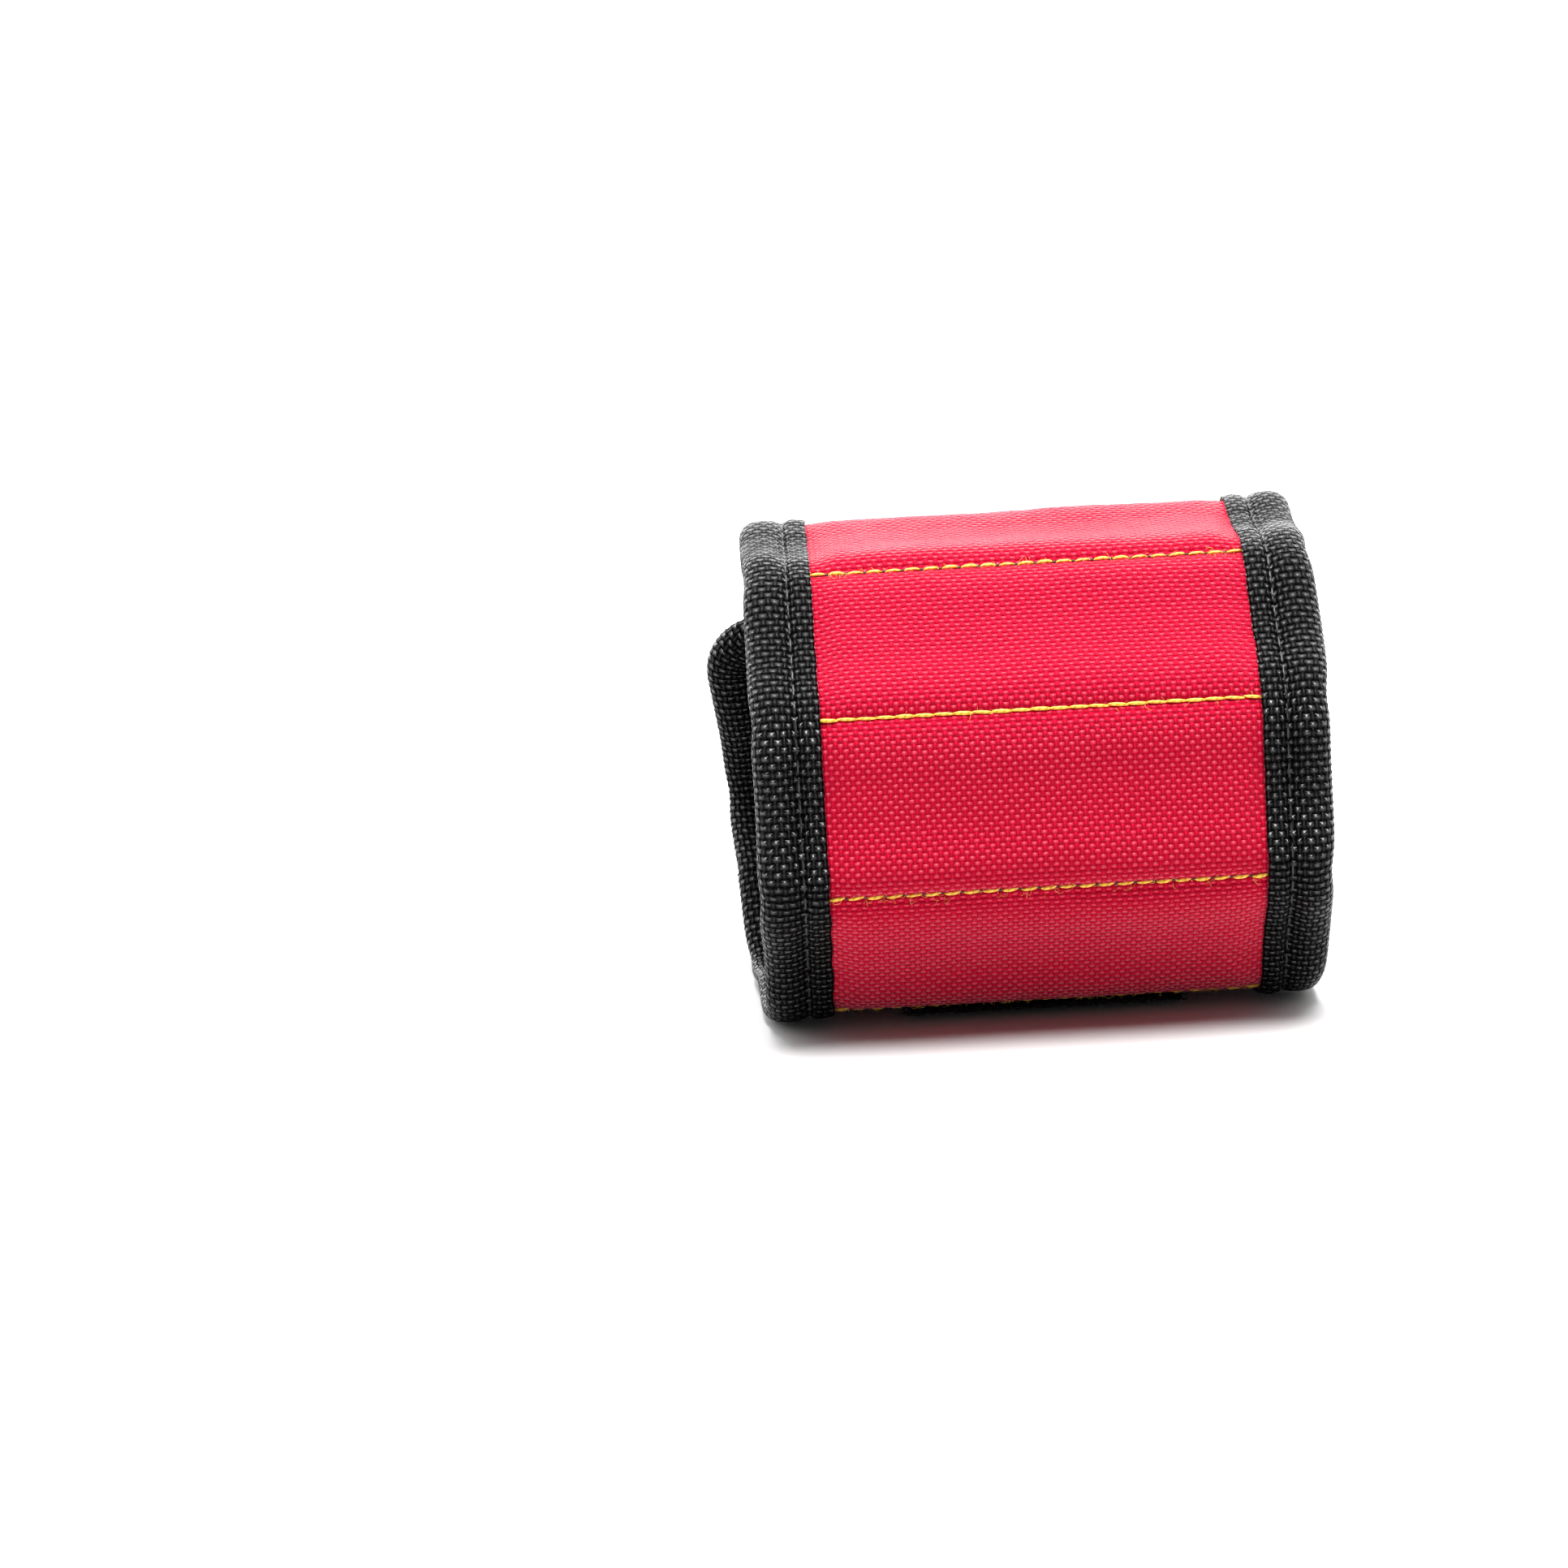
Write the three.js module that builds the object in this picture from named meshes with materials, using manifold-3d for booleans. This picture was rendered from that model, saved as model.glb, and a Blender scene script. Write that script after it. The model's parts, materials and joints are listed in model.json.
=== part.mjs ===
// Magnetic wristband that holds pins, needles and small screws, closed with hook-and-loop tape.
// Millimetres, +Z up. At rest it is wrapped as it is worn, its opening along X, and it lies on its loop patch.
//
// Every layer is first drawn on the opened band: x across it, y along it from the tail to the closure tab,
// z outward from the cover. The layers are cut at the folds into panels, and nested groups fold the panels up.

import * as THREE from "three";
import { mergeVertices } from "three/addons/utils/BufferGeometryUtils.js";
import Module from "manifold-3d";

const wasm = await Module();
wasm.setup();

// Driving dimensions
const BAND_WIDTH = 90;
const CORNER_RADIUS = 11;
const GAP = 0.3; // left between pieces that touch
const TAIL_SLANT = Math.tan(THREE.MathUtils.degToRad(4.3)); // the tail drifts towards the hand

// The panels from the inner end to the outer end. fold is the turn to the next panel, in degrees.
const PANELS = [
  { name: "tail_tip", length: 34, fold: 52 },
  { name: "tail_mid", length: 31, fold: 54 },
  { name: "tail_root", length: 32, fold: 53.4 },
  { name: "channel_1", length: 28.5, fold: 40.6 },
  { name: "channel_2", length: 28.5, fold: 43.4 },
  { name: "channel_3", length: 28.5, fold: 36.6 },
  { name: "channel_4", length: 28.5, fold: 46 },
  { name: "channel_5", length: 28.5, fold: 46 },
  { name: "closure_root", length: 31, fold: 42 },
  { name: "closure_tab", length: 27, fold: 0 },
];
const ROOT = 2; // the panel that the band lies on carries the others
const CHANNELS = [3, 4, 5, 6, 7]; // the panels that hold magnets

// Fabric layers, by height above the cover's surface at a fold
const COVER = { top: 0, bottom: -0.6 };
const LINING = { top: COVER.bottom - GAP, edge: -1.6, padded: -2.4 };
const TAPE = { thickness: 0.8, reach: 10.5, top: 1.1, bottom: -2.7 };
const LAYER_INSET = TAPE.thickness + 0.4; // cover and lining end inside the folded tape
const PADDING_INSET = TAPE.reach + 0.5;
const PILLOW_HALF_WIDTH = BAND_WIDTH / 2 - PADDING_INSET;

// Pillow of a magnet channel: height over the distance from the fold
const PILLOW_SLOPE = [
  [0, 0],
  [3, 1.0],
  [6, 1.4],
];
const BELLY_SLOPE = [
  [0, LINING.padded],
  [4, -3.0],
  [7, -3.2],
];
const POCKET = { wall: 0.6, end: 4, top: 0.5, bottom: -2.0 };
const MAGNET = { diameter: 18, thickness: 2, offset: 16, bottom: -1.7 };

// Hook-and-loop tape
const PATCH_WIDTH = 44;
const PATCH_THICKNESS = 1.2;
const LOOP_PATCH = { start: 11, endMargin: 1.2 };
const HOOK_PATCH = { startMargin: 10, endMargin: 11.5 };

const THREAD = { width: 0.7, height: 0.6 };

const FAR = 400; // longer than the band
const DEEP = 8; // deeper than every layer
const CIRCLE_SIDES = 40;
const CORNER_SIDES = 6;

const foldAt = [0];
PANELS.forEach((panel) => foldAt.push(foldAt.at(-1) + panel.length));
const BAND_LENGTH = foldAt.at(-1);
const TAIL_END = foldAt[CHANNELS[0]]; // the seam between the tail and the first channel

const cloth = (color, roughness) => new THREE.MeshStandardMaterial({ color, roughness, metalness: 0 });
const MATERIALS = {
  cover: cloth(0xc8102e, 0.7),
  lining: cloth(0x17171a, 0.95),
  tape: cloth(0x1c1c1d, 0.6),
  loop: cloth(0x0e0d0d, 1.0),
  hook: cloth(0x101010, 0.8),
  thread: cloth(0xe8b92e, 0.55),
  magnet: new THREE.MeshStandardMaterial({ color: 0xc4c4c2, roughness: 0.25, metalness: 1 }),
};

function toSolid(geometry) {
  geometry.deleteAttribute("normal");
  geometry.deleteAttribute("uv");
  const merged = mergeVertices(geometry, 1e-4);
  const vertProperties = merged.attributes.position.array;
  const triVerts = new Uint32Array(merged.index.array);
  return new wasm.Manifold(new wasm.Mesh({ numProp: 3, vertProperties, triVerts }));
}

function toMesh(solid, name, material) {
  const made = solid.getMesh();
  const geometry = new THREE.BufferGeometry();
  geometry.setAttribute("position", new THREE.BufferAttribute(new Float32Array(made.vertProperties), 3));
  geometry.setIndex(new THREE.BufferAttribute(new Uint32Array(made.triVerts), 1));
  geometry.computeVertexNormals();
  const mesh = new THREE.Mesh(geometry, material);
  mesh.name = name;
  return mesh;
}

// A slab of an outline in x and y, between two heights.
function slab(shape, bottom, top) {
  const options = { depth: top - bottom, bevelEnabled: false, curveSegments: CORNER_SIDES };
  return toSolid(new THREE.ExtrudeGeometry(shape, options).translate(0, 0, bottom));
}

// A bar along x whose section is a list of [y, z] points.
function bar(points, halfWidth) {
  const shape = new THREE.Shape(points.map(([y, z]) => new THREE.Vector2(y, z)));
  const geometry = new THREE.ExtrudeGeometry(shape, { depth: 2 * halfWidth, bevelEnabled: false });
  const yAxis = new THREE.Vector3(0, 1, 0);
  const zAxis = new THREE.Vector3(0, 0, 1);
  const xAxis = new THREE.Vector3(1, 0, 0);
  geometry.translate(0, 0, -halfWidth);
  return toSolid(geometry.applyMatrix4(new THREE.Matrix4().makeBasis(yAxis, zAxis, xAxis)));
}

// How far the band has drifted sideways at a distance along it.
const driftAt = (y) => Math.min(0, (y - TAIL_END) * TAIL_SLANT);

// The band's outline, drawn in by an inset, with rounded ends and the slanting tail.
function bandOutline(inset) {
  const half = BAND_WIDTH / 2 - inset;
  const radius = Math.max(CORNER_RADIUS - inset, 0.5);
  const low = inset;
  const high = BAND_LENGTH - inset;
  const left = (y) => driftAt(y) - half;
  const right = (y) => driftAt(y) + half;
  const shape = new THREE.Shape();
  shape.moveTo(left(low) + radius, low);
  shape.lineTo(right(low) - radius, low);
  shape.quadraticCurveTo(right(low), low, right(low + radius), low + radius);
  shape.lineTo(half, TAIL_END);
  shape.lineTo(half, high - radius);
  shape.quadraticCurveTo(half, high, half - radius, high);
  shape.lineTo(radius - half, high);
  shape.quadraticCurveTo(-half, high, -half, high - radius);
  shape.lineTo(-half, TAIL_END);
  shape.lineTo(left(low + radius), low + radius);
  shape.quadraticCurveTo(left(low), low, left(low) + radius, low);
  return shape;
}

// A strip down the middle of the band between two distances along it.
function patchOutline(start, end) {
  const half = PATCH_WIDTH / 2;
  return new THREE.Shape([
    new THREE.Vector2(driftAt(start) - half, start),
    new THREE.Vector2(driftAt(start) + half, start),
    new THREE.Vector2(driftAt(end) + half, end),
    new THREE.Vector2(driftAt(end) - half, end),
  ]);
}

// The profile of a channel: a slope from each fold, closed by a straight line at the given height.
function channelProfile(panel, slope, base) {
  const start = foldAt[panel];
  const end = foldAt[panel + 1];
  const rise = slope.map(([run, z]) => [start + run, z]);
  const fall = slope.map(([run, z]) => [end - run, z]).reverse();
  return [[start, base], ...rise, ...fall, [end, base]].filter(
    ([y, z], i, all) => i === 0 || Math.hypot(y - all[i - 1][0], z - all[i - 1][1]) > 1e-6,
  );
}

// The space in a channel that holds the magnets, between two heights.
function pocket(panel, bottom, top) {
  const start = foldAt[panel] + POCKET.end;
  const end = foldAt[panel + 1] - POCKET.end;
  const section = [
    [start, bottom],
    [end, bottom],
    [end, top],
    [start, top],
  ];
  return bar(section, PILLOW_HALF_WIDTH - POCKET.wall);
}

function makeCover() {
  let cover = slab(bandOutline(LAYER_INSET), COVER.bottom, COVER.top);
  for (const panel of CHANNELS) {
    const profile = channelProfile(panel, PILLOW_SLOPE, COVER.bottom).reverse();
    cover = cover.add(bar(profile, PILLOW_HALF_WIDTH));
    cover = cover.subtract(pocket(panel, -DEEP, POCKET.top));
  }
  return cover;
}

function makeLining() {
  let lining = slab(bandOutline(LAYER_INSET), LINING.edge, LINING.top);
  lining = lining.add(slab(bandOutline(PADDING_INSET), LINING.padded, LINING.top));
  for (const panel of CHANNELS) {
    lining = lining.add(bar(channelProfile(panel, BELLY_SLOPE, LINING.top), PILLOW_HALF_WIDTH));
    lining = lining.subtract(pocket(panel, POCKET.bottom, DEEP));
  }
  return lining;
}

// Tape folded round the band's whole edge: a slab with a groove for the layers and the middle cut out.
function makeTape() {
  return slab(bandOutline(0), TAPE.bottom, TAPE.top)
    .subtract(slab(bandOutline(TAPE.thickness), TAPE.bottom + TAPE.thickness, TAPE.top - TAPE.thickness))
    .subtract(slab(bandOutline(TAPE.reach), -DEEP, DEEP));
}

function makeLoopPatch() {
  const outline = patchOutline(LOOP_PATCH.start, TAIL_END - LOOP_PATCH.endMargin);
  return slab(outline, GAP, GAP + PATCH_THICKNESS);
}

function makeHookPatch() {
  const start = foldAt[PANELS.length - 2] + HOOK_PATCH.startMargin;
  const top = LINING.padded - GAP;
  return slab(patchOutline(start, BAND_LENGTH - HOOK_PATCH.endMargin), top - PATCH_THICKNESS, top);
}

// The room of one panel: it is mitred below a fold, where panels close up, and square above it.
function panelRoom(panel) {
  const start = foldAt[panel];
  const end = foldAt[panel + 1];
  const miter = (fold) => DEEP * Math.tan(THREE.MathUtils.degToRad(fold) / 2);
  const low = panel > 0 ? start + GAP / 2 : -FAR;
  const high = panel < PANELS.length - 1 ? end - GAP / 2 : FAR;
  const lowMiter = panel > 0 ? miter(PANELS[panel - 1].fold) : 0;
  const highMiter = miter(PANELS[panel].fold);
  const section = [
    [low, DEEP],
    [low, 0],
    [low + lowMiter, -DEEP],
    [high - highMiter, -DEEP],
    [high, 0],
    [high, DEEP],
  ];
  return bar(section, FAR);
}

const bandCover = makeCover();
const bandLining = makeLining();
const bandTape = makeTape();
const loopPatch = makeLoopPatch();
const hookPatch = makeHookPatch();

function addMagnets(group, panel) {
  const middle = (foldAt[panel] + foldAt[panel + 1]) / 2;
  for (const [side, x] of [["left", -MAGNET.offset], ["right", MAGNET.offset]]) {
    const radius = MAGNET.diameter / 2;
    const disc = new THREE.CylinderGeometry(radius, radius, MAGNET.thickness, CIRCLE_SIDES);
    disc.rotateX(Math.PI / 2);
    const mesh = new THREE.Mesh(disc, MATERIALS.magnet);
    mesh.position.set(x, middle, MAGNET.bottom + MAGNET.thickness / 2);
    mesh.name = `magnet_${panel - CHANNELS[0] + 1}_${side}`;
    group.add(mesh);
  }
}

// The row of stitches across the band at a fold, lying over the crease.
function addSeam(group, fold) {
  const y = foldAt[fold];
  const row = new THREE.BoxGeometry(2 * (BAND_WIDTH / 2 - TAPE.reach - GAP), THREAD.width, THREAD.height);
  const mesh = new THREE.Mesh(row, MATERIALS.thread);
  mesh.position.set(0, y, GAP + THREAD.height / 2);
  mesh.name = `channel_seam_${fold - CHANNELS[0] + 1}`;
  group.add(mesh);
}

// One panel's own pieces, in the opened band's coordinates.
function makePanel(panel) {
  const { name } = PANELS[panel];
  const room = panelRoom(panel);
  const group = new THREE.Group();
  const add = (layer, part, material) => {
    const piece = layer.intersect(room);
    if (!piece.isEmpty()) group.add(toMesh(piece, `${part}_${name}`, material));
  };
  add(bandCover, "cover", MATERIALS.cover);
  add(bandLining, "lining", MATERIALS.lining);
  add(loopPatch, "loop_patch", MATERIALS.loop);
  add(hookPatch, "hook_patch", MATERIALS.hook);
  const tape = bandTape.intersect(room);
  if (panel === 0 || panel === PANELS.length - 1) {
    group.add(toMesh(tape, `binding_${name}`, MATERIALS.tape));
  } else {
    for (const half of tape.decompose()) {
      const side = half.boundingBox().max[0] < 0 ? "left" : "right";
      group.add(toMesh(half, `binding_${side}_${name}`, MATERIALS.tape));
    }
  }
  if (CHANNELS.includes(panel)) addMagnets(group, panel);
  return group;
}

// A group turned about the fold line at a distance along the band.
function foldGroup(y, degrees) {
  const group = new THREE.Group();
  const pivot = new THREE.Vector3(0, y, 0);
  group.quaternion.setFromAxisAngle(new THREE.Vector3(1, 0, 0), THREE.MathUtils.degToRad(degrees));
  group.position.copy(pivot).sub(pivot.clone().applyQuaternion(group.quaternion));
  return group;
}

const band = makePanel(ROOT);
const groups = [];
groups[ROOT] = band;
for (let panel = ROOT + 1; panel < PANELS.length; panel += 1) {
  groups[panel] = foldGroup(foldAt[panel], -PANELS[panel - 1].fold);
  groups[panel].add(makePanel(panel));
  groups[panel - 1].add(groups[panel]);
}
for (let panel = ROOT - 1; panel >= 0; panel -= 1) {
  groups[panel] = foldGroup(foldAt[panel + 1], PANELS[panel].fold);
  groups[panel].add(makePanel(panel));
  groups[panel + 1].add(groups[panel]);
}

// A seam closes each channel, and the last one closes the row.
for (let fold = CHANNELS[0]; fold <= CHANNELS.at(-1) + 1; fold += 1) {
  addSeam(groups[fold - 1], fold);
}

// The root lies with its loop patch down, and the origin is on the ground below the middle of the whole band.
band.rotation.x = Math.PI;
band.updateMatrixWorld(true);
const bounds = new THREE.Box3().setFromObject(band, true);
const middle = bounds.getCenter(new THREE.Vector3());
band.position.set(-middle.x, -middle.y, -bounds.min.z);

export default band;
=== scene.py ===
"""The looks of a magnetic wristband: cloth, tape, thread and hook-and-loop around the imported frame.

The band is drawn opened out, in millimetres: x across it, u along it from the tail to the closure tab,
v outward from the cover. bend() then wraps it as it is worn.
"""

import json
import math

import bpy
import numpy as np
from mathutils import Matrix, Vector

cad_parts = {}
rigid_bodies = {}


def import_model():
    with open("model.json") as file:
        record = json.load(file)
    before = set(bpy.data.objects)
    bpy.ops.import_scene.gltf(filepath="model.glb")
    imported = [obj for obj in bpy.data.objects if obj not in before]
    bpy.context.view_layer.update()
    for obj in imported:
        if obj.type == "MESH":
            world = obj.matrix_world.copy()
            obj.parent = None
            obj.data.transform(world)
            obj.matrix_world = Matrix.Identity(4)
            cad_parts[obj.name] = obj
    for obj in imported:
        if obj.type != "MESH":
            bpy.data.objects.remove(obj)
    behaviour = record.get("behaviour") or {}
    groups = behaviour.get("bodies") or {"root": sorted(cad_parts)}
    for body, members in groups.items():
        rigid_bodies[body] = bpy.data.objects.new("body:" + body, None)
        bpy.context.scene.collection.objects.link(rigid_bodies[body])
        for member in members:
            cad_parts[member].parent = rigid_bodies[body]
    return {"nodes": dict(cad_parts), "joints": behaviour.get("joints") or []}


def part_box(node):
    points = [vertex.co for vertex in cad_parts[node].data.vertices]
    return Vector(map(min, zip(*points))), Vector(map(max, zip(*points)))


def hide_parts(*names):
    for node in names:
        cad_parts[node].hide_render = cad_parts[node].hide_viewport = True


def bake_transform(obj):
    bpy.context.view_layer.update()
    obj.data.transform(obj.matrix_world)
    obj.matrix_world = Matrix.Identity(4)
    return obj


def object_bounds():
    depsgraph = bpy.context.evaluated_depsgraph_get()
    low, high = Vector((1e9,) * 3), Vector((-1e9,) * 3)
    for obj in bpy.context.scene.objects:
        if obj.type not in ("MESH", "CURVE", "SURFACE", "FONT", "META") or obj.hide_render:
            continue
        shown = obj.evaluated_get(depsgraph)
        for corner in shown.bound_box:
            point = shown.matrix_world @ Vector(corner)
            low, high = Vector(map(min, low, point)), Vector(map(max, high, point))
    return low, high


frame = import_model()
cad_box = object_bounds()

MM = 0.001

# The band
PANELS = [
    "tail_tip", "tail_mid", "tail_root",
    "channel_1", "channel_2", "channel_3", "channel_4", "channel_5",
    "closure_root", "closure_tab",
]
ROOT = 2
CHANNELS = range(3, 8)
SEAM_FOLDS = range(3, 9)
BAND_WIDTH = 90.0
TAIL_TIP_LENGTH = 34.0
CLOSURE_TAB_LENGTH = 27.0
CORNER_RADIUS = 11.0
TAIL_SLANT = math.tan(math.radians(4.3))
ROWS_PER_HALF = 20

# Layers
TAPE_REACH = 10.5
TAPE_THICKNESS = 0.7
TAPE_MIDDLE = -0.75
GROOVE = 6.6  # from the band's edge to the tape's stitches
COVER_THICKNESS = 0.6
LAYER_INSET = 1.6
PILLOW = 1.35
PILLOW_SKEW = 0.78  # each cushion is fullest nearer to the tail's side
CUSHION_SHOULDER = 2.6  # higher is flatter on top
CUSHION_ROUNDNESS = 0.7  # lower is steeper at the seams
TAIL_PAD = 0.25
CLOSURE_PAD = 0.55
SEAM_DIP = 0.28
PUCKER = 0.09
BIG_CREASES = 0.16
SMALL_CREASES = 0.035
TUCK = 0.5  # how far the cover goes down under the tape
LINING_TOP = -0.9
LINING_SKIN = -2.3
LINING_EDGE = -1.5
LINING_BELLY = 0.8
LINING_DIP = 0.35
LINING_CREASES = 0.10
PATCH_WIDTH = 44.0
PATCH_THICKNESS = 1.2
LOOP_BASE = 0.3
LOOP_START = 11.0
LOOP_END_MARGIN = 1.2
HOOK_BASE = -2.7
HOOK_START_MARGIN = 10.0
HOOK_END_MARGIN = 11.5

# Yarns of the cover and the binding, across and along the band
COVER_YARNS = (0.82, 0.84)
TAPE_YARNS = (0.95, 1.2)

# Thread
STITCH_PITCH = 3.1
SEAM_THREAD = 0.60
TAPE_THREAD = 0.42

# Camera and room, in metres and degrees, with the lens in millimetres
AZIMUTH = -3.6
ELEVATION = 13.0
CAMERA_DISTANCE = 0.7525
CAMERA_ROLL = -2.47
AIM_LEFT = 3.06
AIM_DOWN = -0.43
LENS = 104.8
ROOM_FRONT = 0.12
ROOM_BACK = 5.0
ROOM_DARK_UNTIL = -0.35  # from -1 in front to 1 behind
OVERHEAD = 7.4
OVERHEAD_FROM = (0.05, -0.08, 1)
OVERHEAD_SPREAD = 32
FLOOR_HALF = 6.0
FLOOR_GREY = (0.52, 0.52, 0.52, 1)  # the light makes it white


# ---------------------------------------------------------------- the wrapped band

joint_between = {frozenset((j["parent"], j["child"])): j for j in frame["joints"]}
JOINTS = [joint_between[frozenset(pair)] for pair in zip(PANELS, PANELS[1:])]
PIVOTS = np.array([j["pos_m"] for j in JOINTS]) / MM
INNER_LENGTHS = np.linalg.norm(np.diff(PIVOTS, axis=0), axis=1)
FOLD_AT = np.cumsum([0, TAIL_TIP_LENGTH, *INNER_LENGTHS, CLOSURE_TAB_LENGTH])
MIDDLES = (FOLD_AT[:-1] + FOLD_AT[1:]) / 2
BAND_LENGTH = FOLD_AT[-1]
TAIL_END = FOLD_AT[CHANNELS[0]]
LAST = len(JOINTS) - 1
CENTRE_X = sum(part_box("cover_channel_2"), Vector()).x / 2 / MM
BLEND_MARGIN = 1.5


def turned(points, joint, share):
    """Points after folding a joint shut by a share of its range."""
    pivot = np.array(joint["pos_m"]) / MM
    angle = -np.radians(joint["range_deg"][1]) * joint["axis"][0] * share
    y = points[:, 1] - pivot[1]
    z = points[:, 2] - pivot[2]
    cos, sin = np.cos(angle), np.sin(angle)
    return np.stack([points[:, 0], pivot[1] + y * cos - z * sin, pivot[2] + y * sin + z * cos], axis=1)


def on_panel(flat, panel):
    """Points of the opened band, carried rigidly by one panel."""
    points = np.array(flat, float) * (1, -1, -1)
    root_pivot = PIVOTS[ROOT]
    points += (CENTRE_X, FOLD_AT[ROOT + 1] + root_pivot[1], root_pivot[2])
    chain = range(ROOT, panel) if panel > ROOT else range(ROOT - 1, panel - 1, -1)
    for k in chain:
        points = turned(points, JOINTS[k], 1.0)
    return points


def near_and_far(fold):
    """The panels on both sides of a fold, the one that carries the other first."""
    return (fold, fold + 1) if fold >= ROOT else (fold + 1, fold)


def blend_ends(fold):
    """Where the bend at a fold starts and ends, in the row frame."""
    ends = []
    for panel in near_and_far(fold):
        towards_fold = np.sign(FOLD_AT[fold + 1] - MIDDLES[panel])
        u = MIDDLES[panel] + towards_fold * BLEND_MARGIN
        ends.append(on_panel([[0, u, 0]], panel)[0])
    return ends


def bend_at(flat, fold):
    """Rest position of points of the opened band that bend at one fold.

    The share of the turn that a point takes depends on where it ends up, so it is found by halving."""
    near, _ = near_and_far(fold)
    start, end = blend_ends(fold)
    span = end - start
    base = on_panel(flat, near)
    low = np.zeros(len(base))
    high = np.ones(len(base))
    for _ in range(34):
        share = (low + high) / 2
        placed = turned(base, JOINTS[fold], share)
        along = np.clip((placed - start) @ span / (span @ span), 0, 1)
        wanted = along * along * (3 - 2 * along)
        low = np.where(wanted > share, share, low)
        high = np.where(wanted > share, high, share)
    return turned(base, JOINTS[fold], (low + high) / 2)


def fold_of(u):
    """The fold that a distance along the band bends at."""
    return np.clip(np.searchsorted(MIDDLES, u) - 1, 0, LAST)


def bend(flat):
    """Rest position of any points of the opened band."""
    flat = np.asarray(flat, float)
    folds = fold_of(flat[:, 1])
    placed = np.empty_like(flat)
    for fold in np.unique(folds):
        chosen = folds == fold
        placed[chosen] = bend_at(flat[chosen], fold)
    return placed


def drift(u):
    """Sideways shift of the slanting tail."""
    return np.minimum(0, (u - TAIL_END) * TAIL_SLANT)


# ---------------------------------------------------------------- shapes in the opened band

rng = np.random.default_rng(7)


def smoothstep(x, low, high):
    t = np.clip((x - low) / (high - low), 0, 1)
    return t * t * (3 - 2 * t)


def make_ripple(terms, shortest, longest):
    """A smooth uneven surface between about -1 and 1, as a sum of waves in random directions."""
    length = rng.uniform(shortest, longest, terms)
    heading = rng.uniform(0, math.pi, terms)
    phase = rng.uniform(0, 2 * math.pi, terms)

    def ripple(x, u):
        total = 0
        for size, turn, start in zip(length, heading, phase):
            total = total + np.sin(2 * math.pi * (x * math.cos(turn) + u * math.sin(turn)) / size + start)
        return total / math.sqrt(terms)

    return ripple


soft_waves = make_ripple(9, 14, 38)
small_waves = make_ripple(9, 4, 9)


def rows_between(low, high, spacing=None):
    """Distances along the band that hit every middle and fold.

    They are evenly spaced, or closer near the folds when no spacing is given."""
    rows = []
    for panel in range(len(PANELS)):
        half = (FOLD_AT[panel + 1] - FOLD_AT[panel]) / 2
        steps = ROWS_PER_HALF if spacing is None else math.ceil(half / spacing)
        ease = (np.arange(steps + 1) / steps) ** (1.25 if spacing is None else 1)
        rows += list(FOLD_AT[panel] + half * ease) + list(FOLD_AT[panel + 1] - half * ease)
    rows += [low, high]
    rows = np.unique(np.round(rows, 6))
    return rows[(rows >= low) & (rows <= high)]


def outline_half_width(u, inset):
    """Half the band's width at a distance along it, with round corners at its ends."""
    half = BAND_WIDTH / 2 - inset
    radius = CORNER_RADIUS - inset
    from_end = np.clip(np.minimum(u, BAND_LENGTH - u) - inset, 0, radius)
    return half - (radius - np.sqrt(np.maximum(radius**2 - (radius - from_end) ** 2, 0)))


def pillow(u):
    """Height of the padding along the band: a cushion in each channel, low and flat elsewhere."""
    height = np.zeros_like(u)
    for panel in CHANNELS:
        s = (u - FOLD_AT[panel]) / (FOLD_AT[panel + 1] - FOLD_AT[panel])
        inside = (s >= 0) & (s <= 1)
        skewed = np.clip(s, 0, 1) ** PILLOW_SKEW
        arch = np.maximum(1 - np.abs(2 * skewed - 1) ** CUSHION_SHOULDER, 0) ** CUSHION_ROUNDNESS
        height = np.where(inside, PILLOW * arch, height)
    last_seam = FOLD_AT[SEAM_FOLDS[-1]]
    height = np.where(u < TAIL_END, TAIL_PAD * smoothstep(TAIL_END - u, 0, 9), height)
    return np.where(u > last_seam, CLOSURE_PAD * smoothstep(u - last_seam, 0, 7), height)


def seam_distance(u):
    """Distance to the nearest seam."""
    seams = FOLD_AT[list(SEAM_FOLDS)]
    return np.abs(u[..., None] - seams).min(axis=-1)


def clear_of_tape(x, u):
    """Distance in from the inner edge of the tape, negative under the tape."""
    from_side = BAND_WIDTH / 2 - np.abs(x - drift(u))
    return np.minimum(from_side, np.minimum(u, BAND_LENGTH - u)) - TAPE_REACH


def cover_height(x, u):
    """Outer surface of the cover."""
    clear = clear_of_tape(x, u)
    open_part = smoothstep(clear, -1.0, 5.0)
    held_down = 1 - smoothstep(clear, -2.6, -0.6)
    near_seam = np.exp(-((seam_distance(u) / 1.7) ** 2))
    pucker = PUCKER * near_seam * np.cos(2 * math.pi * x / STITCH_PITCH)
    loose = BIG_CREASES * soft_waves(x, u) + SMALL_CREASES * small_waves(x, u)
    lift = pillow(u) + (loose * (1 - near_seam) + pucker)
    rise = lift * (0.22 + 0.78 * open_part) - TUCK * held_down
    return 0.1 * (1 - near_seam) - SEAM_DIP * near_seam + rise


def lining_height(x, u):
    """Inner surface of the lining, on the skin."""
    open_part = smoothstep(clear_of_tape(x, u), -0.6, 3.4)
    depth = LINING_BELLY * pillow(u) / PILLOW - LINING_DIP * np.exp(-((seam_distance(u) / 1.3) ** 2))
    loose = LINING_CREASES * soft_waves(x + 50, u)
    inner = LINING_SKIN - depth + loose
    return inner * open_part + LINING_EDGE * (1 - open_part)


# ---------------------------------------------------------------- meshes


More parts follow.
